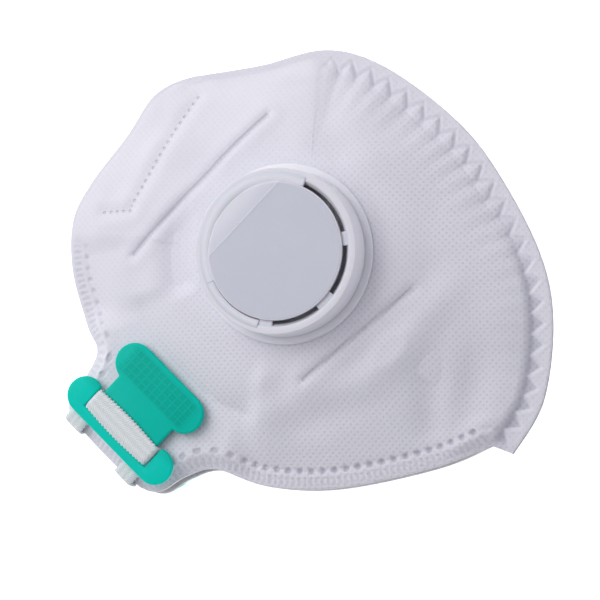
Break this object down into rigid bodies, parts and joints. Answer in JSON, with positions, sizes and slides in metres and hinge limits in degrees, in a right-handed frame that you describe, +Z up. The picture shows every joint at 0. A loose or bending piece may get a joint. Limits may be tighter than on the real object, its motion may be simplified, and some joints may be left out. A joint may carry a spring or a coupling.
{
  "type": "fold-flat dust mask with exhalation valve",
  "caption": "Fold-flat disposable dust mask with a welded centre seam, a round exhalation valve in one half, green buckles and elastic loops.",
  "frame": {"origin": "on the surface the folded mask lies on, under the middle of its plan", "axes": "+X from the ears to the front seam, +Y from the chin to the nose, +Z up through the valve"},
  "size_m": [0.1373, 0.1446, 0.0372],
  "materials": {
    "cover_fleece": "embossed spunbond",
    "wadding": "soft",
    "filter_web": "smooth",
    "lining_fleece": "embossed spunbond",
    "valve_plastic": "satin",
    "flap_rubber": "matt",
    "buckle_plastic": "satin",
    "elastic": "woven",
    "clip_metal": "matt",
    "foam": "open cell"
  },
  "bodies": {
    "left_half": {"outer_cover_left": "cover_fleece", "support_layer_left": "wadding", "filter_layer_left": "filter_web", "inner_lining_left": "lining_fleece", "seam_band": "cover_fleece", "nose_clip_left": "clip_metal", "nose_foam_left": "foam", "buckle_left": "buckle_plastic", "elastic_band_left": "elastic", "elastic_loop_left": "elastic"},
    "right_half": {"outer_cover_right": "cover_fleece", "support_layer_right": "wadding", "filter_layer_right": "filter_web", "inner_lining_right": "lining_fleece", "nose_clip_right": "clip_metal", "nose_foam_right": "foam", "valve_seat": "valve_plastic", "valve_cover": "valve_plastic", "valve_retaining_ring": "valve_plastic", "buckle_right": "buckle_plastic", "elastic_band_right": "elastic", "elastic_loop_right": "elastic"},
    "flap": {"valve_flap": "flap_rubber"}
  },
  "joints": [
    {"name": "fold_open", "type": "hinge", "parent": "left_half", "child": "right_half", "pos_m": [0.0689, 0, 0.013], "axis": [0, 1, 0], "range_deg": [0, 60]},
    {"name": "flap_hinge", "type": "hinge", "parent": "right_half", "child": "flap", "pos_m": [0.01012, 0.02283, 0.02955], "axis": [-1, 0, 0], "range_deg": [0, 12]}
  ]
}
